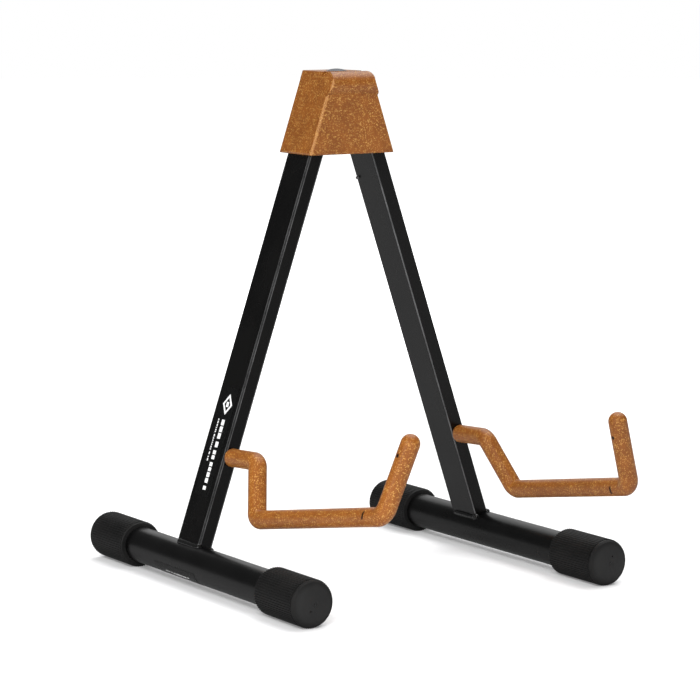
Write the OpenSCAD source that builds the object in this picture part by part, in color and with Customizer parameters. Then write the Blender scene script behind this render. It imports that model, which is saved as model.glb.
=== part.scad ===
// Folding A-frame floor stand for a guitar. Two flat steel legs hang from a soft head block,
// each with a round foot tube across its lower end and a padded arm that cradles the body.
// Frame: +Z up, X across the legs, the cradle arms reach towards -Y. Millimetres.

/* [A-frame] */
// Distance from the hinge pin to the centre of the foot tube, along the leg
leg_length = 340.4; // [300:0.1:420]
// Lean of each leg away from upright when the stand is open, degrees
leg_lean = 18.84; // [16:0.01:21]
// Half the distance between the two hinge pins
hinge_half_gap = 10.93; // [10.7:0.01:12]
// Across-the-legs thickness of the flat leg tube
leg_t = 11; // [10:0.1:11.4]
// Front-to-back depth of the flat leg tube
leg_d = 30; // [26:0.1:30]
// Wall of the flat leg tube
leg_wall = 1.5; // [1.2:0.1:1.6]
// Corner radius of the flat leg tube
leg_corner = 1.5; // [1:0.1:1.8]

/* [Feet] */
// Outside diameter of the foot tubes
foot_d = 25; // [22:0.5:26]
// Wall of the foot tubes
foot_wall = 1.5; // [1:0.1:2.5]
// From the leg centre forward to the rim of the front rubber cap
foot_front = 161.25; // [120:0.25:200]
// From the leg centre back to the rim of the rear rubber cap
foot_rear = 118.15; // [90:0.05:150]
// Weld bead around the foot of each leg
weld_size = 2; // [1:0.1:3]

/* [Rubber caps] */
// Outside diameter over the ribs
cap_d = 32.8; // [29:0.1:34]
// Length from the open edge to the end rim
cap_len = 48; // [35:0.5:60]
// How far the end face domes out past the rim
cap_dome = 3.2; // [1:0.1:5]
// Number of grip ribs around each cap
cap_ribs = 60; // [36:4:72]
// Height of the grip ribs
rib_h = 0.45; // [0.2:0.05:0.6]

/* [Cradle arms] */
// From the hinge pin down to where the arm leaves the leg
arm_drop = 263.3; // [220:0.1:280]
// Diameter of the bent steel rod
rod_d = 8; // [6:0.1:9]
// Outside diameter of the soft sleeve
sleeve_d = 12.8; // [11:0.1:13.4]
// Forward reach of the first corner from the leg centre
arm_reach_1 = 49.5; // [46:0.1:60]
// Forward reach of the second, lower corner
arm_reach_2 = 69; // [66:0.1:80]
// Forward reach of the front corner
arm_reach_3 = 211.5; // [190:0.1:230]
// Forward reach of the tip
arm_reach_4 = 218.5; // [214:0.1:240]
// Rise of the first corner above the arm's root, along the leg
arm_rise_1 = 2.2; // [0:0.1:6]
// Fall of the second corner below the root
arm_fall_2 = 35.8; // [30:0.1:40]
// Fall of the front corner below the root
arm_fall_3 = 9.7; // [4:0.1:16]
// Rise of the tip above the root
arm_rise_4 = 45.9; // [35:0.1:55]
// Centreline radius of the two corners by the leg
tight_bend = 7; // [6.8:0.1:9]
// Centreline radius of the front corner
front_bend = 9.5; // [8:0.1:12]

/* [Head block] */
// Height of the head block's lower edge below the hinge pins
head_drop = 42.4; // [38:0.1:48]
// Height of the head block's top above the hinge pins
head_rise = 15; // [14.8:0.1:18]
// Half width of the head block at its lower edge
head_half_low = 35.3; // [34.3:0.05:37]
// Half width of the head block at its top
head_half_top = 16.05; // [15.4:0.05:17]
// From the leg centre forward to the flat rest face
head_front = 21.6; // [20:0.1:22]
// From the leg centre back to the rear face
head_rear = 20.8; // [20:0.1:23]
// Radius of the rolled upper front edge
roll_r = 9; // [8:0.1:10]
// How far the roll stands proud of the flat rest face
roll_proud = 2.8; // [1:0.1:3.4]
// Rounding of the head block's upright edges
head_edge = 2.5; // [1.5:0.1:3]
// Rounding of its upper side edges
head_top_edge = 1.8; // [1:0.1:2.2]
// Rounding of its lower edges
head_low_edge = 1.4; // [0.8:0.1:2]

/* [Hinge] */
// Hinge pin diameter
pin_d = 6; // [5:0.5:6]
// Running clearance around each pin
pin_play = 0.05; // [0.02:0.01:0.09]
// Sheet thickness of the hinge cap
sheet = 1.5; // [1.2:0.1:1.6]
// Gap left between parts that move past each other
gap = 0.3; // [0.3:0.05:0.4]
// Thickness of each plastic hinge washer
washer_t = 0.6; // [0.4:0.05:0.6]
// Diameter of the domed screw head on top
screw_head_d = 14.8; // [12:0.1:16]
// Height of the domed screw head
screw_head_h = 1.4; // [1.2:0.1:3.5]
// Screw length under its head
screw_len = 12; // [11.5:0.5:12]

/* [Small parts] */
// Diameter of the stop stud on the right leg's inner face
stud_d = 2.2; // [2:0.1:4]
// Drop of the stop stud below the hinge pin, along the leg
stud_drop = 63.4; // [50:0.1:90]
// Drop of the leg label's upper edge below the hinge pin
label_drop = 216; // [200:0.5:222]
// Length of the leg label along the leg
label_len = 78; // [40:0.5:84]
// Width of the leg label
label_w = 19.5; // [14:0.5:24]

/* [Hidden] */
$fn = 64;

rib_step = 360 / cap_ribs;
// The caps stand on the flat crest of their lowest rib.
foot_z = cap_d / 2 * cos(rib_step / 5);
foot_x = hinge_half_gap + leg_length * sin(leg_lean);
pin_z = foot_z + leg_length * cos(leg_lean);
cap_root = cap_d / 2 - rib_h;
cap_end_wall = 2.5;
sleeve_r = sleeve_d / 2;
rod_r = rod_d / 2;
// The box around the whole stand is centred front to back on the origin.
leg_y = (arm_reach_4 + sleeve_r * 0.97 - foot_rear - cap_dome) / 2;
bracket_top = pin_z + 11;
bracket_low = pin_z - 24;
bracket_half_y = leg_d / 2 + washer_t + gap + sheet;
rivet_r = 4.5;
rivet_h = 1.2;
pin_hole_r = pin_d / 2 + pin_play;
label_t = 0.15;

// The arm's corners as [y, z] in the leg's own upright frame, with the hinge pin at [0, 0].
arm_path = [
  [-leg_d / 2, -arm_drop],
  [-arm_reach_1, arm_rise_1 - arm_drop],
  [-arm_reach_2, -arm_fall_2 - arm_drop],
  [-arm_reach_3, -arm_fall_3 - arm_drop],
  [-arm_reach_4, arm_rise_4 - arm_drop]
];
arm_bends = [0, tight_bend, tight_bend, front_bend, 0];

function heading(i) = atan2(arm_path[i + 1][1] - arm_path[i][1], arm_path[i + 1][0] - arm_path[i][0]);
function wrapped(a) = a > 180 ? a - 360 : (a < -180 ? a + 360 : a);
function turn(i) = wrapped(heading(i) - heading(i - 1));
function setback(i) = arm_bends[i] == 0 ? 0 : arm_bends[i] * tan(abs(turn(i)) / 2);
function along(i, d) = arm_path[i] + d * [cos(heading(i)), sin(heading(i))];
function run(i) = norm(arm_path[i + 1] - arm_path[i]) - setback(i) - setback(i + 1);

// Half width, at a height above the pins, of a wedge whose sides stay a set distance
// outside the middle of the leaning legs.
function wedge(h, out) = hinge_half_gap - h * tan(leg_lean) + out / cos(leg_lean);

module rounded_rect(w, d, r) {
  square([w - 2 * r, d], center = true);
  square([w, d - 2 * r], center = true);
  for (i = [-1, 1], j = [-1, 1]) {
    translate([i * (w / 2 - r), j * (d / 2 - r)]) circle(r = r);
  }
}

module ring(r_out, r_in, h) {
  linear_extrude(height = h) {
    difference() {
      circle(r = r_out);
      circle(r = r_in);
    }
  }
}

// Lays a shape built up +Z along +Y instead, starting at y.
module along_y(y) {
  translate([0, y, 0]) rotate([-90, 0, 0]) children();
}

// Puts a shape drawn around a hinge pin into the stand, leaning with its leg.
module leg_frame(side) {
  translate([side * hinge_half_gap, leg_y, pin_z]) rotate([0, -side * leg_lean, 0]) children();
}

module head_frame() {
  translate([0, leg_y, pin_z]) children();
}

module foot_frame(side) {
  translate([side * foot_x, leg_y, foot_z]) children();
}

// A wedge-shaped block between two heights above the pins and two y positions.
module wedge_block(out, z0, z1, y0, y1) {
  translate([0, y1, 0]) rotate([90, 0, 0]) linear_extrude(height = y1 - y0) {
    polygon([[-wedge(z0, out), z0], [wedge(z0, out), z0], [wedge(z1, out), z1], [-wedge(z1, out), z1]]);
  }
}

// One leaning rounded bar whose outer side is a side of the head block.
module head_side(side, y0, y1) {
  slope = atan2(head_half_low - head_half_top, head_drop + head_rise);
  width = 90;
  top = [side * head_half_top, (y0 + y1) / 2, head_rise];
  translate(top) rotate([0, -side * slope, 0]) {
    translate([-side * width / 2, 0, -80]) linear_extrude(height = 120) {
      rounded_rect(width, y1 - y0, head_edge);
    }
  }
}

// What a rounded corner takes off: the corner is at c, its edges leave at angles a1 and a2.
module corner_cut(c, a1, a2, r) {
  half = (a2 - a1) / 2;
  mid = a1 + half;
  centre = c + r / sin(half) * [cos(mid), sin(mid)];
  t = r / tan(half);
  difference() {
    polygon([
      centre,
      c + t * [cos(a1), sin(a1)] + [sin(a1), -cos(a1)],
      c - 3 * [cos(mid), sin(mid)],
      c + t * [cos(a2), sin(a2)] + [-sin(a2), cos(a2)]
    ]);
    translate(centre) circle(r = r + 0.01);
  }
}

// Rounds the head block's level edges: the two upper sides and all four lower ones.
module head_edge_cuts() {
  slope = atan2(head_half_low - head_half_top, head_drop + head_rise);
  translate([0, 60, 0]) rotate([90, 0, 0]) linear_extrude(height = 120) {
    for (flip = [0, 1]) {
      mirror([flip, 0]) {
        corner_cut([head_half_top, head_rise], 180, 270 + slope, head_top_edge);
        corner_cut([head_half_low, -head_drop], 90 + slope, 180, head_low_edge);
      }
    }
  }
  translate([-60, 0, 0]) rotate([90, 0, 90]) linear_extrude(height = 120) {
    corner_cut([-head_front, -head_drop], 0, 90, head_low_edge);
    corner_cut([head_rear, -head_drop], 90, 180, head_low_edge);
  }
}

module head_body() {
  r = 2.2;
  intersection() {
    head_side(-1, -head_front, head_rear);
    head_side(1, -head_front, head_rear);
    translate([-60, 0, 0]) rotate([90, 0, 90]) linear_extrude(height = 120) {
      difference() {
        translate([-head_front - 1, -head_drop]) square([head_front + head_rear + 2, head_drop + head_rise]);
        difference() {
          translate([head_rear - r, head_rise - r]) square([r + 2, r + 1]);
          translate([head_rear - r, head_rise - r]) circle(r = r);
        }
        translate([-head_front - 2, head_rise - roll_r]) square([head_front + roll_proud - roll_r, roll_r + 1]);
      }
    }
  }
}

module head_roll() {
  front = head_front + roll_proud;
  intersection() {
    head_side(-1, -front, head_rear);
    head_side(1, -front, head_rear);
    translate([-60, roll_r - front, head_rise - roll_r]) rotate([0, 90, 0]) cylinder(r = roll_r, h = 120);
  }
}

module head_cover() {
  color([0.66, 0.40, 0.19]) head_frame() difference() {
    union() {
      head_body();
      head_roll();
    }
    head_edge_cuts();
    // Seat for the hinge cap, and the narrower way out for the legs below it
    wedge_block(leg_t / 2 + gap + sheet + 0.05, bracket_low - pin_z - 0.1, bracket_top - pin_z + 0.05,
      -bracket_half_y - 0.05, bracket_half_y + 0.05);
    wedge_block(leg_t / 2 + gap + 0.1, -head_drop - 1, bracket_low - pin_z, -leg_d / 2 - 0.5, leg_d / 2 + 0.5);
    for (side = [-1, 1]) {
      translate([side * hinge_half_gap, 0, 0]) along_y(-bracket_half_y - rivet_h - 0.1) {
        cylinder(r = rivet_r + 0.3, h = 2 * (bracket_half_y + rivet_h + 0.1));
      }
    }
    cylinder(r = 3.2, h = head_rise + 5);
  }
}

module hinge_bracket() {
  out = leg_t / 2 + gap;
  color([0.55, 0.56, 0.58]) head_frame() difference() {
    wedge_block(out + sheet, bracket_low - pin_z, bracket_top - pin_z, -bracket_half_y, bracket_half_y);
    wedge_block(out, bracket_low - pin_z - 1, bracket_top - pin_z - sheet, sheet - bracket_half_y,
      bracket_half_y - sheet);
    for (side = [-1, 1]) {
      translate([side * hinge_half_gap, 0, 0]) along_y(-bracket_half_y - 1) {
        cylinder(r = pin_hole_r, h = 2 * bracket_half_y + 2);
      }
    }
    cylinder(r = 3.2, h = 20);
  }
}

// Round bar with a flat riveted head outside each wall of the hinge cap.
module hinge_pin(side) {
  color([0.62, 0.63, 0.65]) head_frame() translate([side * hinge_half_gap, 0, 0]) {
    along_y(-bracket_half_y - rivet_h) rotate_extrude() {
      square([rivet_r, rivet_h]);
      square([pin_d / 2, 2 * (bracket_half_y + rivet_h)]);
      translate([0, 2 * bracket_half_y + rivet_h]) square([rivet_r, rivet_h]);
    }
  }
}

module left_hinge_pin() {
  hinge_pin(-1);
}

module right_hinge_pin() {
  hinge_pin(1);
}

// Low domed head with a hexagon socket, and a shank that screws into the nut.
module head_screw() {
  head_r = screw_head_d / 2;
  dome_r = (head_r * head_r + screw_head_h * screw_head_h) / (2 * screw_head_h);
  color([0.22, 0.22, 0.23]) head_frame() translate([0, 0, head_rise]) difference() {
    union() {
      rotate_extrude() intersection() {
        translate([0, screw_head_h - dome_r]) circle(r = dome_r);
        square([head_r + 1, screw_head_h + 1]);
      }
      translate([0, 0, -screw_len]) cylinder(r = 3, h = screw_len + 0.5);
    }
    translate([0, 0, screw_head_h - 1.8]) cylinder(r = 2.31, h = 3, $fn = 6);
  }
}

module head_nut() {
  top = bracket_top - pin_z - sheet;
  color([0.62, 0.63, 0.65]) head_frame() translate([0, 0, top - 5]) difference() {
    rotate([0, 0, 30]) cylinder(r = 5.77, h = 5, $fn = 6);
    translate([0, 0, -1]) cylinder(r = 3.02, h = 7);
  }
}

// Flat oval-cornered tube. Round tabs at the top carry the hinge pin, the lower end is coped
// to sit on the foot tube, and the front wall lets the arm's rod in.
module leg(side) {
  color([0.05, 0.05, 0.055]) leg_frame(side) difference() {
    union() {
      translate([0, 0, 8 - leg_length]) linear_extrude(height = leg_length - 8) {
        rounded_rect(leg_t, leg_d, leg_corner);
      }
      along_y(-leg_d / 2) cylinder(r = leg_t / 2 - 0.1, h = leg_d);
    }
    translate([0, 0, -leg_length]) linear_extrude(height = leg_length + 20) {
      square([leg_t - 2 * leg_wall, leg_d - 2 * leg_wall], center = true);
    }
    translate([-20, leg_wall - leg_d / 2, 0]) cube([40, leg_d - 2 * leg_wall, 20]);
    along_y(-leg_d) cylinder(r = pin_hole_r, h = 2 * leg_d);
    translate([0, 0, -leg_length]) along_y(-leg_d) cylinder(d = foot_d + 0.1, h = 2 * leg_d);
    translate([0, 0, -arm_drop]) along_y(-leg_d) cylinder(r = rod_r + 0.05, h = leg_d);
    if (side > 0) {
      translate([-leg_t, stud_y(), -stud_drop]) rotate([0, 90, 0]) cylinder(r = 0.9, h = leg_t);
    }
  }
}

function stud_y() = leg_d / 2 - 3;

module left_leg() {
  leg(-1);
}

module right_leg() {
  leg(1);
}

module hinge_bush(side) {
  half = leg_d / 2 - leg_wall - 0.1;
  color([0.62, 0.63, 0.65]) leg_frame(side) along_y(-half) ring(3.8, pin_hole_r, 2 * half);
}

module left_hinge_bush() {
  hinge_bush(-1);
}

module right_hinge_bush() {
  hinge_bush(1);
}

module hinge_washers(side) {
  color([0.85, 0.85, 0.82]) leg_frame(side) {
    along_y(leg_d / 2) ring(leg_t / 2 - 0.2, pin_hole_r, washer_t);
    along_y(-leg_d / 2 - washer_t) ring(leg_t / 2 - 0.2, pin_hole_r, washer_t);
  }
}

module left_hinge_washers() {
  hinge_washers(-1);
}

module right_hinge_washers() {
  hinge_washers(1);
}

module foot_tube(side) {
  color([0.05, 0.05, 0.055]) foot_frame(side) along_y(cap_end_wall - foot_front) {
    ring(foot_d / 2, foot_d / 2 - foot_wall, foot_front + foot_rear - 2 * cap_end_wall);
  }
}

module left_foot_tube() {
  foot_tube(-1);
}

module right_foot_tube() {
  foot_tube(1);
}

// A bead that fills the corner between the leg's outline and the foot tube.
module weld(side) {
  color([0.06, 0.06, 0.065]) leg_frame(side) difference() {
    intersection() {
      translate([0, 0, -leg_length]) linear_extrude(height = foot_d) {
        rounded_rect(leg_t + 2 * weld_size, leg_d + 2 * weld_size, leg_corner + weld_size);
      }
      translate([0, 0, -leg_length]) along_y(-leg_d) cylinder(r = foot_d / 2 + weld_size, h = 2 * leg_d);
    }
    translate([0, 0, -leg_length]) along_y(-leg_d) cylinder(d = foot_d + 0.1, h = 2 * leg_d);
    translate([0, 0, -leg_length - 1]) linear_extrude(height = foot_d + 10) {
      rounded_rect(leg_t + 0.1, leg_d + 0.1, leg_corner);
    }
  }
}

module left_weld() {
  weld(-1);
}

module right_weld() {
  weld(1);
}

// Ribbed rubber cup, drawn with its open edge at 0 and its closed end up +Z. A moulding nib
// stands in the middle of the end, with a small blind hole beside it.
module rubber_cap(hole_angle) {
  dome_base = cap_root - 1.2;
  dome_r = (dome_base * dome_base + cap_dome * cap_dome) / (2 * cap_dome);
  ribs = [
    for (i = [0:cap_ribs - 1], k = [0:3])
      let (a = rib_step * (i + [-0.2, 0.2, 0.32, 0.68][k]), r = k < 2 ? cap_d / 2 : cap_root)
        [r * cos(a), r * sin(a)]
  ];
  color([0.035, 0.035, 0.037]) difference() {
    union() {
      translate([0, 0, 0.8]) linear_extrude(height = cap_len - 3.3) polygon(ribs);
      rotate_extrude() {
        polygon([
          [0, 0], [cap_root - 0.7, 0], [cap_root - 0.05, 0.8], [cap_root - 0.05, cap_len - 1.2],
          [dome_base, cap_len], [0, cap_len]
        ]);
        intersection() {
          translate([0, cap_len + cap_dome - dome_r]) circle(r = dome_r);
          translate([0, cap_len]) square([dome_base, cap_dome + 1]);
        }
      }
      cylinder(r = 1.1, h = cap_len + cap_dome + 0.35);
    }
    translate([0, 0, -1]) cylinder(d = foot_d + 0.04, h = cap_len - cap_end_wall + 1);
    rotate([0, 0, hole_angle]) translate([5.2, 0, cap_len]) cylinder(r = 0.6, h = cap_dome + 1);
  }
}

module front_cap(side) {
  foot_frame(side) translate([0, cap_len - foot_front, 0]) rotate([90, 0, 0]) {
    rubber_cap(side < 0 ? 230 : 75);
  }
}

module rear_cap(side) {
  foot_frame(side) along_y(foot_rear - cap_len) rubber_cap(side < 0 ? 140 : 310);
}

module left_front_cap() {
  front_cap(-1);
}

module right_front_cap() {
  front_cap(1);
}

module left_rear_cap() {
  rear_cap(-1);
}

module right_rear_cap() {
  rear_cap(1);
}

// Puts a shape built up +Z at a point of the arm's path, pointing along run i.
module on_run(i, d) {
  p = along(i, d);
  translate([0, p[0], p[1]]) rotate([heading(i) - 90, 0, 0]) children();
}

// An elbow that runs a hair past both ends of its corner, so it takes in the straight bars.
// Its bar is drawn slightly fuller than theirs.
module bend(i, r) {
  left = turn(i) > 0 ? 1 : -1;
  lap = 2.5;
  start = along(i - 1, norm(arm_path[i] - arm_path[i - 1]) - setback(i));
  side_way = heading(i - 1) + 90 * left;
  centre = start + arm_bends[i] * [cos(side_way), sin(side_way)];
  from = side_way + 180 + (left > 0 ? 0 : turn(i)) - lap;
  translate([0, centre[0], centre[1]]) rotate([from, 0, 0]) rotate([90, 0, 90]) {
    rotate_extrude(angle = abs(turn(i)) + 2 * lap) translate([arm_bends[i], 0]) circle(r = r);
  }
}

// The solid bent bar, from a distance before the root to a distance short of the tip.
module arm_bar(r, swell, before, short) {
  on_run(0, -before) cylinder(r = r, h = run(0) + before);
  for (i = [1:2]) {
    on_run(i, setback(i)) cylinder(r = r, h = run(i));
  }
  on_run(3, setback(3)) cylinder(r = r, h = run(3) - short);
  for (i = [1:3]) {
    bend(i, r + swell);
  }
}

module arm_rod(side) {
  color([0.05, 0.05, 0.055]) leg_frame(side) arm_bar(rod_r, 0.04, leg_d - leg_wall - 0.1, 8);
}

module left_arm_rod() {
  arm_rod(-1);
}

module right_arm_rod() {
  arm_rod(1);
}

// Soft tube over the rod, rounded where it meets the leg and closed over the tip.
module arm_sleeve(side) {
  lip = 2.2;
  dome_at = run(3) - sleeve_r;
  color([0.66, 0.40, 0.19]) leg_frame(side) difference() {
    union() {
      on_run(0, 0.15) rotate_extrude() {
        square([sleeve_r - lip, lip]);
        translate([0, lip]) square([sleeve_r, run(0) - 0.15 - lip]);
        intersection() {
          translate([sleeve_r - lip, lip]) circle(r = lip);
          translate([sleeve_r - lip, 0]) square([lip, lip]);
        }
      }
      for (i = [1:2]) {
        on_run(i, setback(i)) cylinder(r = sleeve_r, h = run(i));
      }
      on_run(3, setback(3)) rotate_extrude() {
        square([sleeve_r, dome_at]);
        intersection() {
          translate([0, dome_at]) circle(r = sleeve_r);
          translate([0, dome_at]) square([sleeve_r, sleeve_r]);
        }
      }
      for (i = [1:3]) {
        bend(i, sleeve_r + 0.05);
      }
    }
    arm_bar(rod_r + 0.03, 0.12, 2, 7.9);
    // Moulding marks on the -X side: a pin hole near the tip and a slit before the front corner
    translate([-sleeve_r - 1, along(3, 40)[0], along(3, 40)[1]]) rotate([0, 90, 0]) cylinder(r = 0.55, h = 2.6);
    translate([-sleeve_r - 1, along(2, 130)[0], along(2, 130)[1]]) rotate([heading(2), 0, 0]) {
      translate([0, -0.3, -2.4]) cube([2.4, 0.6, 4.8]);
    }
  }
}

module left_arm_sleeve() {
  arm_sleeve(-1);
}

module right_arm_sleeve() {
  arm_sleeve(1);
}

module left_leg_label() {
  color([0.04, 0.04, 0.045]) leg_frame(-1) {
    translate([-leg_t / 2 - label_t, -label_w / 2, -label_drop - label_len]) {
      cube([label_t, label_w, label_len]);
    }
  }
}

module left_foot_label() {
  color([0.04, 0.04, 0.045]) foot_frame(-1) along_y(-27) rotate([0, 0, 103]) {
    rotate_extrude(angle = 64) translate([foot_d / 2, 0]) square([label_t, 56]);
  }
}

// Domed button pressed through the right leg's inner wall.
module right_stop_stud() {
  color([0.05, 0.05, 0.055]) leg_frame(1) translate([-leg_t / 2, stud_y(), -stud_drop]) {
    rotate([0, -90, 0]) rotate_extrude() {
      translate([0, -leg_wall]) square([0.88, leg_wall]);
      square([stud_d / 2, 1]);
      intersection() {
        translate([0, 1]) circle(r = stud_d / 2);
        translate([0, 1]) square([stud_d / 2, stud_d]);
      }
    }
  }
}

head_cover();
head_screw();
head_nut();
hinge_bracket();
left_hinge_pin();
right_hinge_pin();
left_leg();
left_hinge_bush();
left_hinge_washers();
left_foot_tube();
left_front_cap();
left_rear_cap();
left_weld();
left_arm_rod();
left_arm_sleeve();
left_leg_label();
left_foot_label();
right_leg();
right_hinge_bush();
right_hinge_washers();
right_foot_tube();
right_front_cap();
right_rear_cap();
right_weld();
right_arm_rod();
right_arm_sleeve();
right_stop_stud();
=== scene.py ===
import math
import random

import bmesh
import bpy
from mathutils import Matrix, Vector, noise


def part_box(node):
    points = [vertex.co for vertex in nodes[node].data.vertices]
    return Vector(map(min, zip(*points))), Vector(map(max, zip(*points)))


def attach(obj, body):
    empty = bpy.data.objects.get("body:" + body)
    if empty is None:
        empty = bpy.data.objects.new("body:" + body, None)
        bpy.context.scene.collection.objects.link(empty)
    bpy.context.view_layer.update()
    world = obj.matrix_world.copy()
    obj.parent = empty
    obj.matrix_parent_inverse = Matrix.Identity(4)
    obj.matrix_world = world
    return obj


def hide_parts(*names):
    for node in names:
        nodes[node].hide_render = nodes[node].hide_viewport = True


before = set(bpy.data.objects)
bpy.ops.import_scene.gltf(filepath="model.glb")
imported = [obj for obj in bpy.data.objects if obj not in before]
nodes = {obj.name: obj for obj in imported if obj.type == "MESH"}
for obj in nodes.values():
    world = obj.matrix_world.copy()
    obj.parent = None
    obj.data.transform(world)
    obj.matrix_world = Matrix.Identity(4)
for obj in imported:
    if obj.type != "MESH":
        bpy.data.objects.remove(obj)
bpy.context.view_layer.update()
scene = bpy.context.scene
scene.view_settings.view_transform = "Standard"


# ---------------------------------------------------------------- places taken from the frame

def middle(node):
    """The middle of a CAD node's box."""
    low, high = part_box(node)
    return (low + high) / 2


def leg_matrix(side):
    """The leg's own upright frame: its origin on the hinge pin, +X across the legs, -Z down the leg."""
    name = "left" if side < 0 else "right"
    pin, foot = middle(name + "_hinge_pin"), middle(name + "_foot_tube")
    down = Vector((foot.x - pin.x, 0, foot.z - pin.z))
    lean = math.atan2(abs(down.x), -down.z)
    leg_y = middle(name + "_leg").y
    place = Matrix.Translation((pin.x, leg_y, pin.z)) @ Matrix.Rotation(-side * lean, 4, "Y")
    return place, down.length


def cap_end(cap):
    """The middle of a foot cap's closed end."""
    low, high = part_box(cap)
    return Vector(((low.x + high.x) / 2, low.y if "front" in cap else high.y, (low.z + high.z) / 2))


LEG = {-1: leg_matrix(-1), 1: leg_matrix(1)}
CAPS = ["left_front_cap", "left_rear_cap", "right_front_cap", "right_rear_cap"]
TUBE_R = (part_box("left_foot_tube")[1].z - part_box("left_foot_tube")[0].z) / 2
LEG_T, LEG_D, LEG_CORNER = 0.011, 0.030, 0.0015


# ---------------------------------------------------------------- small material helpers

class Tree:
    """A material and short ways to add nodes to it."""

    def __init__(self, name):
        self.mat = bpy.data.materials.new(name)
        self.mat.use_nodes = True
        self.nodes = self.mat.node_tree.nodes
        self.links = self.mat.node_tree.links
        self.bsdf = self.nodes["Principled BSDF"]
        self.coord = self.nodes.new("ShaderNodeTexCoord").outputs["Object"]

    def set(self, **values):
        for key, value in values.items():
            self.bsdf.inputs[key.replace("_", " ")].default_value = value

    def link(self, source, target):
        self.links.new(source, target)

    def put(self, node, socket, value):
        if isinstance(value, bpy.types.NodeSocket):
            self.link(value, node.inputs[socket])
        elif value is not None:
            node.inputs[socket].default_value = value

    def noise(self, scale, detail, rough, vector=None):
        n = self.nodes.new("ShaderNodeTexNoise")
        self.link(vector or self.coord, n.inputs["Vector"])
        n.inputs["Scale"].default_value = scale
        n.inputs["Detail"].default_value = detail
        n.inputs["Roughness"].default_value = rough
        return n.outputs

    def cells(self, size, vector=None):
        """A Voronoi pattern of cells: the distance to each cell's point, and its three random numbers."""
        n = self.nodes.new("ShaderNodeTexVoronoi")
        self.link(vector or self.coord, n.inputs["Vector"])
        n.inputs["Scale"].default_value = 1 / size
        sep = self.nodes.new("ShaderNodeSeparateColor")
        self.link(n.outputs["Color"], sep.inputs[0])
        return n.outputs["Distance"], sep.outputs

    def math(self, op, a, b=None):
        n = self.nodes.new("ShaderNodeMath")
        n.operation = op
        self.put(n, 0, a)
        self.put(n, 1, b)
        return n.outputs[0]

    def spots(self, chance, least, largest, distance, low, high):
        """Round spots in some of the cells: a cell's spot grows with its random number above least."""
        size = self.step(chance, least, 1.0, 0.0, largest)
        return self.step(self.math("SUBTRACT", size, distance), low, high)

    def step(self, value, low, high, a=0.0, b=1.0):
        """a below low, b above high, and a smooth rise between."""
        n = self.nodes.new("ShaderNodeMapRange")
        n.interpolation_type = "SMOOTHSTEP"
        self.put(n, "Value", value)
        for key, v in (("From Min", low), ("From Max", high), ("To Min", a), ("To Max", b)):
            self.put(n, key, v)
        return n.outputs[0]

    def mix(self, factor, a, b):
        n = self.nodes.new("ShaderNodeMix")
        n.data_type = "RGBA"
        self.put(n, 0, factor)
        self.put(n, 6, a)
        self.put(n, 7, b)
        return n.outputs[2]

    def shift(self, vector, by, amount):
        """vector moved by a colour's offset from grey."""
        s = self.nodes.new("ShaderNodeVectorMath")
        s.operation = "SUBTRACT"
        self.link(by, s.inputs[0])
        s.inputs[1].default_value = (0.5, 0.5, 0.5)
        m = self.nodes.new("ShaderNodeVectorMath")
        m.operation = "MULTIPLY_ADD"
        self.link(s.outputs[0], m.inputs[0])
        m.inputs[1].default_value = (amount, amount, amount)
        self.link(vector, m.inputs[2])
        return m.outputs[0]

    def bump(self, height, distance, strength=1.0, normal=None):
        n = self.nodes.new("ShaderNodeBump")
        n.inputs["Distance"].default_value = distance
        n.inputs["Strength"].default_value = strength
        self.link(height, n.inputs["Height"])
        if normal is not None:
            self.link(normal, n.inputs["Normal"])
        return n.outputs[0]

    def out(self, color=None, roughness=None, normal=None):
        for key, source in (("Base Color", color), ("Roughness", roughness), ("Normal", normal)):
            if source is not None:
                self.link(source, self.bsdf.inputs[key])
        return self.mat

    def local(self, place):
        """Coordinates turned into a leg's own frame."""
        m = self.nodes.new("ShaderNodeMapping")
        m.vector_type = "TEXTURE"
        self.link(self.coord, m.inputs["Vector"])
        m.inputs["Location"].default_value = place.to_translation()
        m.inputs["Rotation"].default_value = place.to_euler()
        return m.outputs[0]

    def split(self, vector):
        n = self.nodes.new("ShaderNodeSeparateXYZ")
        self.link(vector, n.inputs[0])
        return n.outputs


def grey(v, tint=(1, 1, 1)):
    """A grey of value v, with a slight tint."""
    return (v * tint[0], v * tint[1], v * tint[2], 1)


# ---------------------------------------------------------------- materials

def marks(t, points, reach):
    """1 near any of the points, which are in the stand's frame, and 0 further off than reach."""
    near = None
    for p in points:
        d = t.nodes.new("ShaderNodeVectorMath")
        d.operation = "DISTANCE"
        t.link(t.coord, d.inputs[0])
        d.inputs[1].default_value = tuple(p)
        one = t.step(d.outputs["Value"], reach * 0.75, reach * 1.05, 1.0, 0.0)
        near = one if near is None else t.math("MAXIMUM", near, one)
    return near


# Spacing of the cork's small and large flakes
FLAKE, BIG_FLAKE = 0.00082, 0.0021
# The fine hole and slit on each sleeve's -X face, in the leg's frame, which get painted shade
HOLE_AT, SLIT_AT, SLIT_LENGTH = (-0.0062, -0.2165, -0.2333), (-0.0064, -0.19687, -0.27568), 0.0048


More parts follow.
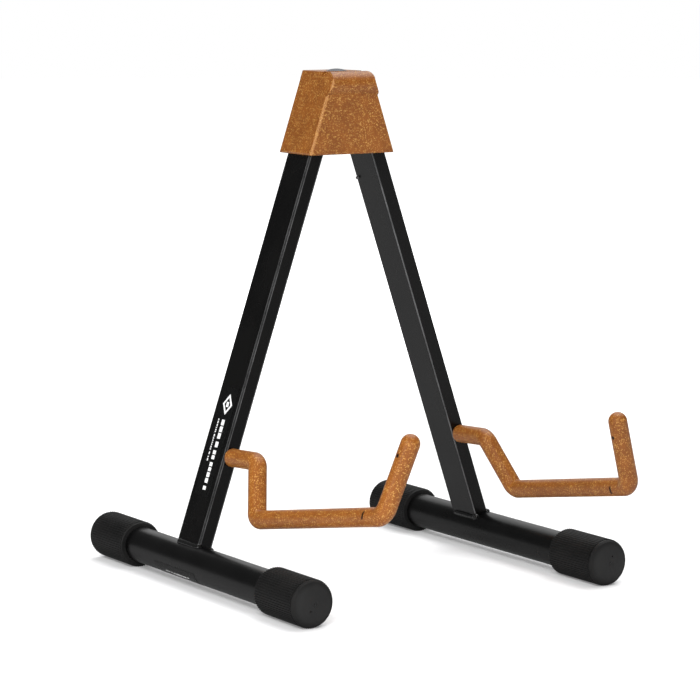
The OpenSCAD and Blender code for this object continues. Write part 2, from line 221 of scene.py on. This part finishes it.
def cork(name, tone=1.0, hole_shade_points=(), corners=False):
    """Moulded cork-like rubber: tan brown, thick with small golden flakes, with soft darker patches.

    tone brightens it, and the sleeves' lighter tones are painted light; pits get painted shade,
    near-black, as inside a hole or slit; and corners paints a light highlight band on the upright
    corners."""
    t = Tree(name)

    def tan(r, g, b):
        return (r * tone, g * tone, b * tone, 1)

    wobble = t.noise(800, 3, 0.7)["Color"]
    distance, chance = t.cells(FLAKE, t.shift(t.coord, wobble, 1.6 * FLAKE))
    distance2, chance2 = t.cells(BIG_FLAKE, t.shift(t.coord, wobble, 1.24 * BIG_FLAKE))
    flake = t.spots(chance[0], 0.20, 0.62, distance, -0.02, 0.12)
    flake2 = t.spots(chance2[0], 0.72, 0.34, distance2, -0.02, 0.10)
    density = t.step(t.noise(160, 3, 0.6)["Fac"], 0.36, 0.62, 0.50, 1.0)
    flakes = t.math("MULTIPLY", t.math("MAXIMUM", flake, t.math("MULTIPLY", flake2, 0.8)), density)
    dark = t.spots(chance[1], 0.60, 0.50, distance, -0.03, 0.12)
    patch = t.noise(85, 4, 0.6)["Fac"]
    grain = t.noise(2100, 3, 0.65)["Fac"]
    base = t.mix(t.step(patch, 0.34, 0.66), tan(0.138, 0.036, 0.0028), tan(0.188, 0.054, 0.0052))
    base = t.mix(t.math("MULTIPLY", dark, 0.6), base, tan(0.080, 0.019, 0.002))
    base = t.mix(t.step(grain, 0.36, 0.68, 0.0, 0.36), base, tan(0.36, 0.130, 0.018))
    gold = t.mix(chance[2], tan(0.44, 0.215, 0.040), tan(0.66, 0.39, 0.110))
    color = t.mix(t.math("MULTIPLY", flakes, 0.60), base, gold)
    rough = t.step(grain, 0.3, 0.7, 0.34, 0.48)
    if corners:
        # A normal between the side's and the front's tells an upright corner.
        x, y, _ = t.split(t.nodes.new("ShaderNodeNewGeometry").outputs["Normal"])
        between = t.math("MINIMUM", t.math("ABSOLUTE", x), t.math("ABSOLUTE", y))
        # Painted highlight: a light gold band down the upright corners, where light would catch the
        # bevel.
        corner_highlight = t.math("MULTIPLY", t.step(between, 0.22, 0.52), t.step(grain, 0.40, 0.62, 0.10, 0.80))
        color = t.mix(corner_highlight, color, (0.46, 0.235, 0.072, 1))
    if hole_shade_points:
        # Painted shade: near-black dots in the hole and along the slit, standing in for the shade inside
        # them.
        color = t.mix(marks(t, hole_shade_points, 0.0010), color, (0.010, 0.003, 0.001, 1))
    height = t.math("ADD", t.math("MULTIPLY", flakes, 0.5), grain)
    normal = t.bump(height, 0.00005, 0.8)
    t.set(Specular_IOR_Level=0.40)
    return t.out(color, rough, normal)


def sleeve_hole_shade_points(side):
    """Points in the small hole near the sleeve's tip and along the slit in its bar, where the cork gets
    painted shade.
    """
    place, _ = LEG[side]
    x, y, z = HOLE_AT
    spread = 0.0004
    points = [(x, y + dy, z + dz) for dy in (-spread, spread) for dz in (-spread, spread)]
    x, y, z = SLIT_AT
    points += [(x, y, z + SLIT_LENGTH * i / 8) for i in range(-4, 5)]
    return [place @ Vector(p) for p in points]


def powder_coat(name, side):
    """Satin black powder coat with a faint orange peel, light handling marks and thin painted highlight
    lines along the corners.
    """
    t = Tree(name)
    peel = t.noise(520, 2, 0.45)["Fac"]
    fine = t.noise(2600, 1, 0.5)["Fac"]
    cloud = t.noise(28, 3, 0.55)["Fac"]
    stretch = t.nodes.new("ShaderNodeMapping")
    t.link(t.coord, stretch.inputs["Vector"])
    stretch.inputs["Scale"].default_value = (2200, 90, 60)
    hair = t.noise(1.0, 2, 0.6, stretch.outputs[0])["Fac"]
    worn = t.math("MULTIPLY", t.step(hair, 0.66, 0.74), t.step(cloud, 0.52, 0.62))
    color = t.mix(t.step(cloud, 0.35, 0.65), grey(0.0018), grey(0.0028, (1.04, 1.0, 0.96)))
    color = t.mix(t.math("MULTIPLY", worn, 0.25), color, grey(0.012))
    # past is one corner radius at the ends of each corner's arc, and 1.41 radii at its middle.
    x, y, _ = t.split(t.local(LEG[side][0]))
    reach = (LEG_T + LEG_D) / 2 - 2 * LEG_CORNER
    past = t.math("SUBTRACT", t.math("ADD", t.math("ABSOLUTE", x), t.math("ABSOLUTE", y)), reach)
    if side < 0:
        # A double painted highlight line, one at each end of the arc
        corner_line_mask = t.math("MULTIPLY", t.step(past, LEG_CORNER * 1.00, LEG_CORNER * 1.08),
                       t.step(past, LEG_CORNER * 1.22, LEG_CORNER * 1.34, 1.0, 0.12))
    else:
        corner_line_mask = t.step(past, LEG_CORNER * 1.26, LEG_CORNER * 1.38)
    # Painted highlight: thin light lines along the leg's rounded corners, broken up by noise, where
    # lights would glint.
    painted_corner_lines = t.math("MULTIPLY", corner_line_mask, t.step(t.noise(45, 3, 0.6)["Fac"], 0.3, 0.6, 0.5, 1.0))
    color = t.mix(painted_corner_lines, color, grey(0.085, (1.0, 1.0, 1.02)))
    rough = t.math("ADD", t.step(cloud, 0.3, 0.7, 0.23, 0.29), t.math("MULTIPLY", worn, 0.15))
    normal = t.bump(fine, 0.000001, 0.5, t.bump(peel, 0.000003, 0.5))
    t.set(Specular_IOR_Level=0.2 if side < 0 else 0.27)
    return t.out(color, rough, normal)


def tube_paint():
    """Glossier black on the round foot tubes."""
    t = Tree("black_tube_paint")
    peel = t.noise(420, 2, 0.45)["Fac"]
    cloud = t.noise(40, 3, 0.55)["Fac"]
    distance, chance = t.cells(0.0065)
    dust = t.spots(chance[0], 0.86, 0.055, distance, -0.01, 0.012)
    color = t.mix(t.step(cloud, 0.35, 0.65), grey(0.0016), grey(0.0024))
    color = t.mix(t.math("MULTIPLY", dust, 0.5), color, grey(0.12))
    rough = t.math("ADD", t.step(cloud, 0.3, 0.7, 0.27, 0.33), t.math("MULTIPLY", dust, 0.4))
    normal = t.bump(peel, 0.000005, 0.5)
    t.set(Specular_IOR_Level=0.3)
    return t.out(color, rough, normal)


def cap_rubber():
    """Matt black moulded rubber, a little dusty."""
    t = Tree("black_rubber")
    grain = t.noise(1800, 3, 0.6)["Fac"]
    cloud = t.noise(70, 3, 0.6)["Fac"]
    distance, chance = t.cells(0.004)
    dust = t.spots(chance[0], 0.8, 0.1, distance, -0.02, 0.02)
    color = t.mix(t.step(cloud, 0.35, 0.65), grey(0.0070), grey(0.0105, (1.03, 1.0, 0.97)))
    color = t.mix(t.math("MULTIPLY", dust, 0.4), color, grey(0.07))
    centres = [cap_end(name) for name in CAPS]
    # Painted highlight: the smooth domed ends are painted a little lighter than the ribbed sides
    end_highlight = marks(t, centres, 0.0150)
    color = t.mix(t.math("MULTIPLY", end_highlight, 0.6), color, grey(0.022))
    # Smooth moulding gate in the middle of each cap's end
    gate = marks(t, centres, 0.0012)
    rough = t.math("SUBTRACT", t.step(cloud, 0.3, 0.7, 0.50, 0.60), t.math("MULTIPLY", gate, 0.30))
    normal = t.bump(gate, 0.0006, 1.0, t.bump(grain, 0.00003, 0.6))
    t.set(Specular_IOR_Level=0.25)
    return t.out(color, rough, normal)


def weld_paint():
    """Glossy black over the lumpy weld beads."""
    t = Tree("weld_paint")
    lumps = t.noise(700, 2, 0.5)["Fac"]
    cloud = t.noise(200, 2, 0.5)["Fac"]
    color = t.mix(cloud, grey(0.0035), grey(0.0060))
    rough = t.step(cloud, 0.3, 0.7, 0.16, 0.26)
    return t.out(color, rough, t.bump(lumps, 0.00006, 0.6))


def metal(name, color, rough_low, rough_high):
    """Bare or plated metal with a cloudy, grainy finish."""
    t = Tree(name)
    grain = t.noise(900, 3, 0.6)["Fac"]
    cloud = t.noise(60, 3, 0.5)["Fac"]
    low = tuple(c * 0.8 for c in color)
    shade = t.mix(t.step(cloud, 0.3, 0.7), (*low, 1), (*color, 1))
    rough = t.step(t.math("ADD", grain, cloud), 0.7, 1.3, rough_low, rough_high)
    t.set(Metallic=1.0)
    return t.out(shade, rough, t.bump(grain, 0.00001, 0.5))


def plastic(name, low, high, rough_low, rough_high):
    """Moulded plastic or print, clouded between two colours."""
    t = Tree(name)
    grain = t.noise(1400, 2, 0.5)["Fac"]
    cloud = t.noise(90, 3, 0.5)["Fac"]
    color = t.mix(t.step(cloud, 0.3, 0.7), (*low, 1), (*high, 1))
    rough = t.step(cloud, 0.3, 0.7, rough_low, rough_high)
    return t.out(color, rough, t.bump(grain, 0.00001, 0.5))


def label_film():
    """Thin black label, about as dark and glossy as the coat under it."""
    t = Tree("label_black")
    cloud = t.noise(120, 2, 0.5)["Fac"]
    color = t.mix(cloud, grey(0.0030), grey(0.0042))
    rough = t.step(cloud, 0.3, 0.7, 0.24, 0.30)
    t.set(Specular_IOR_Level=0.17)
    return t.out(color, rough, t.bump(t.noise(600, 2, 0.5)["Fac"], 0.000005, 0.5))


MATERIALS = {
    "cork": cork("cork_head", corners=True),
    # The sleeves are lighter tones of the head's cork, the left more than the right: painted light, for
    # how each is lit.
    "left_cork": cork("cork_left", 1.24, sleeve_hole_shade_points(-1)),
    "right_cork": cork("cork_right", 1.06, sleeve_hole_shade_points(1)),
    "left_coat": powder_coat("black_powder_coat_left", -1),
    "right_coat": powder_coat("black_powder_coat_right", 1),
    "tube": tube_paint(),
    "rubber": cap_rubber(),
    "weld": weld_paint(),
    "zinc": metal("zinc_steel", (0.62, 0.63, 0.65), 0.28, 0.42),
    "screw": metal("dark_screw", (0.055, 0.060, 0.072), 0.34, 0.46),
    "nylon": plastic("nylon", (0.72, 0.72, 0.69), (0.80, 0.80, 0.77), 0.35, 0.45),
    "stud": plastic("black_plastic", (0.085, 0.085, 0.088), (0.120, 0.120, 0.124), 0.32, 0.44),
    "label": label_film(),
    "print": plastic("label_white", (0.78, 0.78, 0.78), (0.86, 0.86, 0.86), 0.30, 0.38),
}
WEARS = {
    "cork": ["head_cover"],
    "left_cork": ["left_arm_sleeve"],
    "right_cork": ["right_arm_sleeve"],
    "left_coat": ["left_leg", "left_arm_rod"],
    "right_coat": ["right_leg", "right_arm_rod"],
    "tube": ["left_foot_tube", "right_foot_tube"],
    "rubber": CAPS,
    "zinc": ["hinge_bracket", "head_nut", "left_hinge_pin", "right_hinge_pin",
             "left_hinge_bush", "right_hinge_bush"],
    "screw": ["head_screw"],
    "nylon": ["left_hinge_washers", "right_hinge_washers"],
    "stud": ["right_stop_stud"],
    "label": ["left_leg_label", "left_foot_label"],
}


def wear(obj, material):
    """Puts one material on every slot of a CAD node, on the object and not on its mesh."""
    if not obj.material_slots:
        obj.data.materials.append(material)
    for s in obj.material_slots:
        s.link = "OBJECT"
        s.material = material


for key, names in WEARS.items():
    for node_name in names:
        wear(nodes[node_name], MATERIALS[key])


# ---------------------------------------------------------------- new mesh pieces

def mesh_object(name, verts, faces, material, body, smooth=True):
    """A new piece from vertices and faces, with its normals outwards, riding on a body."""
    mesh = bpy.data.meshes.new(name)
    mesh.from_pydata([tuple(v) for v in verts], [], faces)
    mesh.validate()
    bm = bmesh.new()
    bm.from_mesh(mesh)
    bmesh.ops.recalc_face_normals(bm, faces=bm.faces)
    bm.to_mesh(mesh)
    bm.free()
    for p in mesh.polygons:
        p.use_smooth = smooth
    obj = bpy.data.objects.new(name, mesh)
    scene.collection.objects.link(obj)
    mesh.materials.append(material)
    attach(obj, body)
    return obj


def joined(parts):
    """One vertex and face list from several."""
    verts, faces = [], []
    for v, f in parts:
        base = len(verts)
        verts += v
        faces += [tuple(i + base for i in face) for face in f]
    return verts, faces


def swept(points, radii, upright, sides, flat):
    """A closed sausage along points. flat is its height, along upright, over its width."""
    verts, faces = [], []
    n = len(points)
    for i, p in enumerate(points):
        ahead = points[min(i + 1, n - 1)] - points[max(i - 1, 0)]
        ahead.normalize()
        up = (upright - ahead * upright.dot(ahead)).normalized()
        across = ahead.cross(up)
        for k in range(sides):
            a = 2 * math.pi * k / sides
            verts.append(p + radii[i] * (math.cos(a) * across + flat * math.sin(a) * up))
    for i in range(n - 1):
        for k in range(sides):
            a, b = i * sides + k, i * sides + (k + 1) % sides
            faces.append((a, b, b + sides, a + sides))
    for end, ring_at in ((points[0], 0), (points[-1], (n - 1) * sides)):
        verts.append(end)
        c = len(verts) - 1
        faces += [(ring_at + k, ring_at + (k + 1) % sides, c) for k in range(sides)]
    return verts, faces


def lump(centre, size, seed):
    """A slightly uneven ball."""
    rings, segs = 10, 16
    verts, faces = [], []
    for j in range(rings + 1):
        th = math.pi * j / rings
        for k in range(segs):
            ph = 2 * math.pi * k / segs
            d = Vector((math.sin(th) * math.cos(ph), math.sin(th) * math.sin(ph), math.cos(th)))
            verts.append(centre + d * size * (1 + 0.16 * noise.noise(d * 1.7 + seed)))
    for j in range(rings):
        for k in range(segs):
            a, b = j * segs + k, j * segs + (k + 1) % segs
            faces.append((a, b, b + segs, a + segs))
    return verts, faces


def weld_run(side, face, foot, start, stop):
    """The bead along one flat side of a leg, in the leg's frame, from start to stop along Y. foot is
    where that side meets the tube, as x and z."""
    thick = 0.0022 if side < 0 else 0.0018
    # Overlapping puddles left by the torch
    puddle = 0.0023
    count = 64
    points, radii = [], []
    for i in range(count + 1):
        s = i / count
        y = start + (stop - start) * s
        uneven = 0.3 * noise.noise(Vector((y * 300, face, side)))
        ripple = abs(math.sin(math.pi * (y / puddle + uneven)))
        wander = noise.noise(Vector((y * 160, face * 3.1, side * 1.7)))
        end = math.sqrt(max(0.0, 1 - (2 * s - 1) ** 10))
        points.append(Vector((foot[0] + face * 0.0004, y, foot[1] + 0.0002 + 0.0002 * wander)))
        radii.append((thick + 0.00022 * ripple + 0.00040 * wander) * max(end, 0.05))
    out = Vector((face, 0, 0.75)).normalized()
    return swept(points, radii, out, 14, 0.8)


def weld_bead(side, name):
    """Weld beads where the leg's two flat sides meet the foot tube, each with a lump where it starts."""
    place, length = LEG[side]
    body_side = "left" if side < 0 else "right"
    rng = random.Random(11 + side)
    half = LEG_D / 2 - 0.0015
    parts = []
    for face in (-1, 1):
        x = face * LEG_T / 2
        drop = -length + math.sqrt(TUBE_R ** 2 - x ** 2)
        start = -half - rng.uniform(0.0004, 0.001)
        stop = half * rng.uniform(0.86, 0.98)
        parts.append(weld_run(side, face, (x, drop), start, stop))
        centre = Vector((x - face * 0.0002, start - 0.0002, drop + 0.0003))
        parts.append(lump(centre, 0.0027 if face < 0 else 0.0020, Vector((face, side, 3))))
    verts, faces = joined(parts)
    verts = [place @ v for v in verts]
    obj = mesh_object(name, verts, faces, MATERIALS["weld"], body_side + "_leg_body")
    bm = bmesh.new()
    bm.from_mesh(obj.data)
    bmesh.ops.remove_doubles(bm, verts=bm.verts, dist=1e-7)
    bmesh.ops.recalc_face_normals(bm, faces=bm.faces)
    bm.to_mesh(obj.data)
    bm.free()
    for p in obj.data.polygons:
        p.use_smooth = True
    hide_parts(body_side + "_weld")
    return obj


weld_bead(-1, "left_weld_bead")
weld_bead(1, "right_weld_bead")


def plate(points, t):
    """A thin flat prism: points is its outline in the plane (y, z), t its two x values."""
    n = len(points)
    verts = [Vector((t[0], *p)) for p in points] + [Vector((t[1], *p)) for p in points]
    faces = [tuple(range(n)), tuple(range(2 * n - 1, n - 1, -1))]
    faces += [(i, (i + 1) % n, (i + 1) % n + n, i + n) for i in range(n)]
    return verts, faces


def frame_plate(outer, inner, t):
    """A thin flat ring between two outlines with the same number of points."""
    n = len(outer)
    verts = [Vector((x, *p)) for x in t for p in outer] + [Vector((x, *p)) for x in t for p in inner]
    faces = []
    for i in range(n):
        j = (i + 1) % n
        faces += [(i, j, j + n, i + n), (i + 2 * n, i + 3 * n, j + 3 * n, j + 2 * n),
                  (i, i + 2 * n, j + 2 * n, j), (i + n, j + n, j + 3 * n, i + 3 * n)]
    return verts, faces


def leg_label_print():
    """Plain white marks on the leg's label: a diamond outline, a row of blocks and a row of dashes."""
    place, _ = LEG[-1]
    rng = random.Random(5)
    corners = [place.inverted() @ v.co for v in nodes["left_leg_label"].data.vertices]
    face_x = min(c.x for c in corners)
    top = max(c.z for c in corners)
    # The print stands 0.04 mm proud of the label and 0.02 mm in it.
    t = (face_x - 0.00004, face_x + 0.00002)
    parts = []

    def block(y, z, w, h):
        parts.append(plate([(y - w / 2, z - h / 2), (y + w / 2, z - h / 2),
                            (y + w / 2, z + h / 2), (y - w / 2, z + h / 2)], t))

    def row(y, width, stop, heights, gaps):
        """Blocks one under the other, from below the diamond down to stop."""
        z = top - 0.0235
        while z > top - stop:
            h = rng.choice(heights)
            block(y, z - h / 2, width, h)
            z -= h + rng.choice(gaps)

    def diamond(cy, cz, half_w, half_h):
        return [(cy, cz - half_h), (cy + half_w, cz), (cy, cz + half_h), (cy - half_w, cz)]

    cy, cz, half_w, half_h = -0.0006, top - 0.0125, 0.0062, 0.0075
    hole = diamond(cy, cz, half_w * 0.66, half_h * 0.66)
    parts.append(frame_plate(diamond(cy, cz, half_w, half_h), hole, t))
    block(cy, cz, 0.0030, 0.0036)
    row(-0.0012, 0.0038, 0.0735, (0.0028, 0.0034, 0.0040), (0.0008, 0.0008, 0.0022))
    row(0.0052, 0.0013, 0.054, (0.0009, 0.0013, 0.0019), (0.0006, 0.0006, 0.0013))
    verts, faces = joined(parts)
    verts = [place @ v for v in verts]
    return mesh_object("left_leg_label_print", verts, faces, MATERIALS["print"],
                       "left_leg_body", smooth=False)


def foot_label_print():
    """Two fine rows of white dashes on the label that wraps under the left foot tube."""
    rng = random.Random(8)
    centre = middle("left_foot_tube")
    leg_y = middle("left_leg").y

    def dash(angle, half, y, h):
        """A thin patch of the tube's surface, half its width either side of an angle."""
        verts = []
        for r in (r0 - 0.00002, r0 + 0.00004):
            for a, dy in ((-half, 0), (half, 0), (half, h), (-half, h)):
                x, z = r * math.sin(angle + a), r * math.cos(angle + a)
                verts.append(Vector((centre.x - x, y + dy, centre.z - z)))
        sides = [(i, (i + 1) % 4, (i + 1) % 4 + 4, i + 4) for i in range(4)]
        return verts, [(0, 1, 2, 3), (7, 6, 5, 4)] + sides

    # The label's outer face; the print stands 0.04 mm proud of it.
    r0 = TUBE_R + 0.00015
    parts = []
    for angle, start, stop, width in ((50, -0.016, 0.016, 0.0007), (46, -0.014, 0.006, 0.0005)):
        y = leg_y + start
        while y < leg_y + stop:
            h = rng.choice((0.0005, 0.0008, 0.0012))
            parts.append(dash(math.radians(angle), width / 2 / r0, y, h))
            y += h + rng.choice((0.0006, 0.0006, 0.0012))
    verts, faces = joined(parts)
    return mesh_object("left_foot_label_print", verts, faces, MATERIALS["print"],
                       "left_leg_body", smooth=False)


leg_label_print()
foot_label_print()


# ---------------------------------------------------------------- floor, light and camera

FLOOR_R = 8.0


def floor_material():
    """Matt white. It glows more, further off, so that it meets the white backdrop unseen, and glossy
    reflections see it dimmer."""
    t = Tree("floor_white")
    length = t.nodes.new("ShaderNodeVectorMath")
    length.operation = "LENGTH"
    t.link(t.coord, length.inputs[0])
    glow = t.step(length.outputs["Value"], 0.45, 1.5, 0.14, 1.0)
    t.set(Base_Color=(0.84, 0.84, 0.845, 1), Roughness=0.9, Specular_IOR_Level=0.0,
          Emission_Color=(1, 1, 1, 1))
    t.link(glow, t.bsdf.inputs["Emission Strength"])
    seen_in_gloss = t.nodes.new("ShaderNodeEmission")
    seen_in_gloss.inputs["Color"].default_value = (1, 1, 1, 1)
    seen_in_gloss.inputs["Strength"].default_value = 0.0
    path = t.nodes.new("ShaderNodeLightPath")
    mixed = t.nodes.new("ShaderNodeMixShader")
    t.link(t.math("MULTIPLY", path.outputs["Is Glossy Ray"], 0.64), mixed.inputs[0])
    t.link(t.bsdf.outputs[0], mixed.inputs[1])
    t.link(seen_in_gloss.outputs[0], mixed.inputs[2])
    t.link(mixed.outputs[0], t.nodes["Material Output"].inputs["Surface"])
    return t.mat


def make_floor():
    """A wide round floor under the stand."""
    mesh = bpy.data.meshes.new("floor")
    bm = bmesh.new()
    bmesh.ops.create_circle(bm, cap_ends=True, segments=96, radius=FLOOR_R)
    bm.to_mesh(mesh)
    bm.free()
    obj = bpy.data.objects.new("floor", mesh)
    scene.collection.objects.link(obj)
    mesh.materials.append(floor_material())
    return obj


make_floor()


def direction(azimuth, elevation):
    """Unit vector: azimuth from +Y towards +X, in degrees."""
    a, e = math.radians(azimuth), math.radians(elevation)
    return Vector((math.sin(a) * math.cos(e), math.cos(a) * math.cos(e), math.sin(e)))


AIM = Vector((0.0, 0.0, 0.15))


def softbox(name, azimuth, elevation, distance, size, power, glossy=True):
    """A rectangular light aimed at the stand's middle, unseen by the camera."""
    data = bpy.data.lights.new(name, "AREA")
    data.shape = "RECTANGLE"
    data.size, data.size_y = size
    data.energy = power
    obj = bpy.data.objects.new(name, data)
    obj.location = AIM + direction(azimuth, elevation) * distance
    obj.rotation_euler = (AIM - obj.location).to_track_quat("-Z", "Y").to_euler()
    obj.visible_glossy = glossy
    obj.visible_camera = False
    scene.collection.objects.link(obj)
    return obj


softbox("overhead", 60, 72, 2.2, (2.4, 2.4), 58)
softbox("backdrop", 40, 24, 2.6, (2.6, 1.8), 12)
softbox("key", -136, 30, 2.4, (0.8, 0.8), 36, glossy=False)
softbox("left_strip", -110, 22, 2.2, (0.14, 1.3), 12)
softbox("front_strip", -158, 14, 2.4, (0.12, 1.1), 8)


def make_world():
    """White to the camera, soft grey to matt surfaces and dark grey to glossy ones."""
    world = bpy.data.worlds.new("studio")
    scene.world = world
    world.use_nodes = True
    tree = world.node_tree
    tree.nodes.clear()
    path = tree.nodes.new("ShaderNodeLightPath")

    def background(strength):
        n = tree.nodes.new("ShaderNodeBackground")
        n.inputs["Color"].default_value = (1, 1, 1, 1)
        n.inputs["Strength"].default_value = strength
        return n.outputs[0]

    def choose(ray, otherwise, when):
        n = tree.nodes.new("ShaderNodeMixShader")
        tree.links.new(path.outputs[ray], n.inputs[0])
        tree.links.new(otherwise, n.inputs[1])
        tree.links.new(when, n.inputs[2])
        return n.outputs[0]

    lit = choose("Is Glossy Ray", background(0.30), background(0.10))
    shown = choose("Is Camera Ray", lit, background(1.0))
    out = tree.nodes.new("ShaderNodeOutputWorld")
    tree.links.new(shown, out.inputs["Surface"])


make_world()

CAMERA_PLACE = Vector((-1.1155, -1.6948, 0.4387))
CAMERA_LENS = 151.4
# Degrees: the way it looks, turned from +Y towards +X, then its tilt and its roll
CAMERA_AZIMUTH = 32.836
CAMERA_PITCH = -7.776
CAMERA_ROLL = 0.057

camera_data = bpy.data.cameras.new("camera")
camera_data.lens = CAMERA_LENS
camera_data.sensor_width = 36
camera = bpy.data.objects.new("camera", camera_data)
scene.collection.objects.link(camera)
camera.matrix_world = (Matrix.Translation(CAMERA_PLACE)
                       @ Matrix.Rotation(math.radians(-CAMERA_AZIMUTH), 4, "Z")
                       @ Matrix.Rotation(math.radians(90 + CAMERA_PITCH), 4, "X")
                       @ Matrix.Rotation(math.radians(CAMERA_ROLL), 4, "Z"))
scene.camera = camera
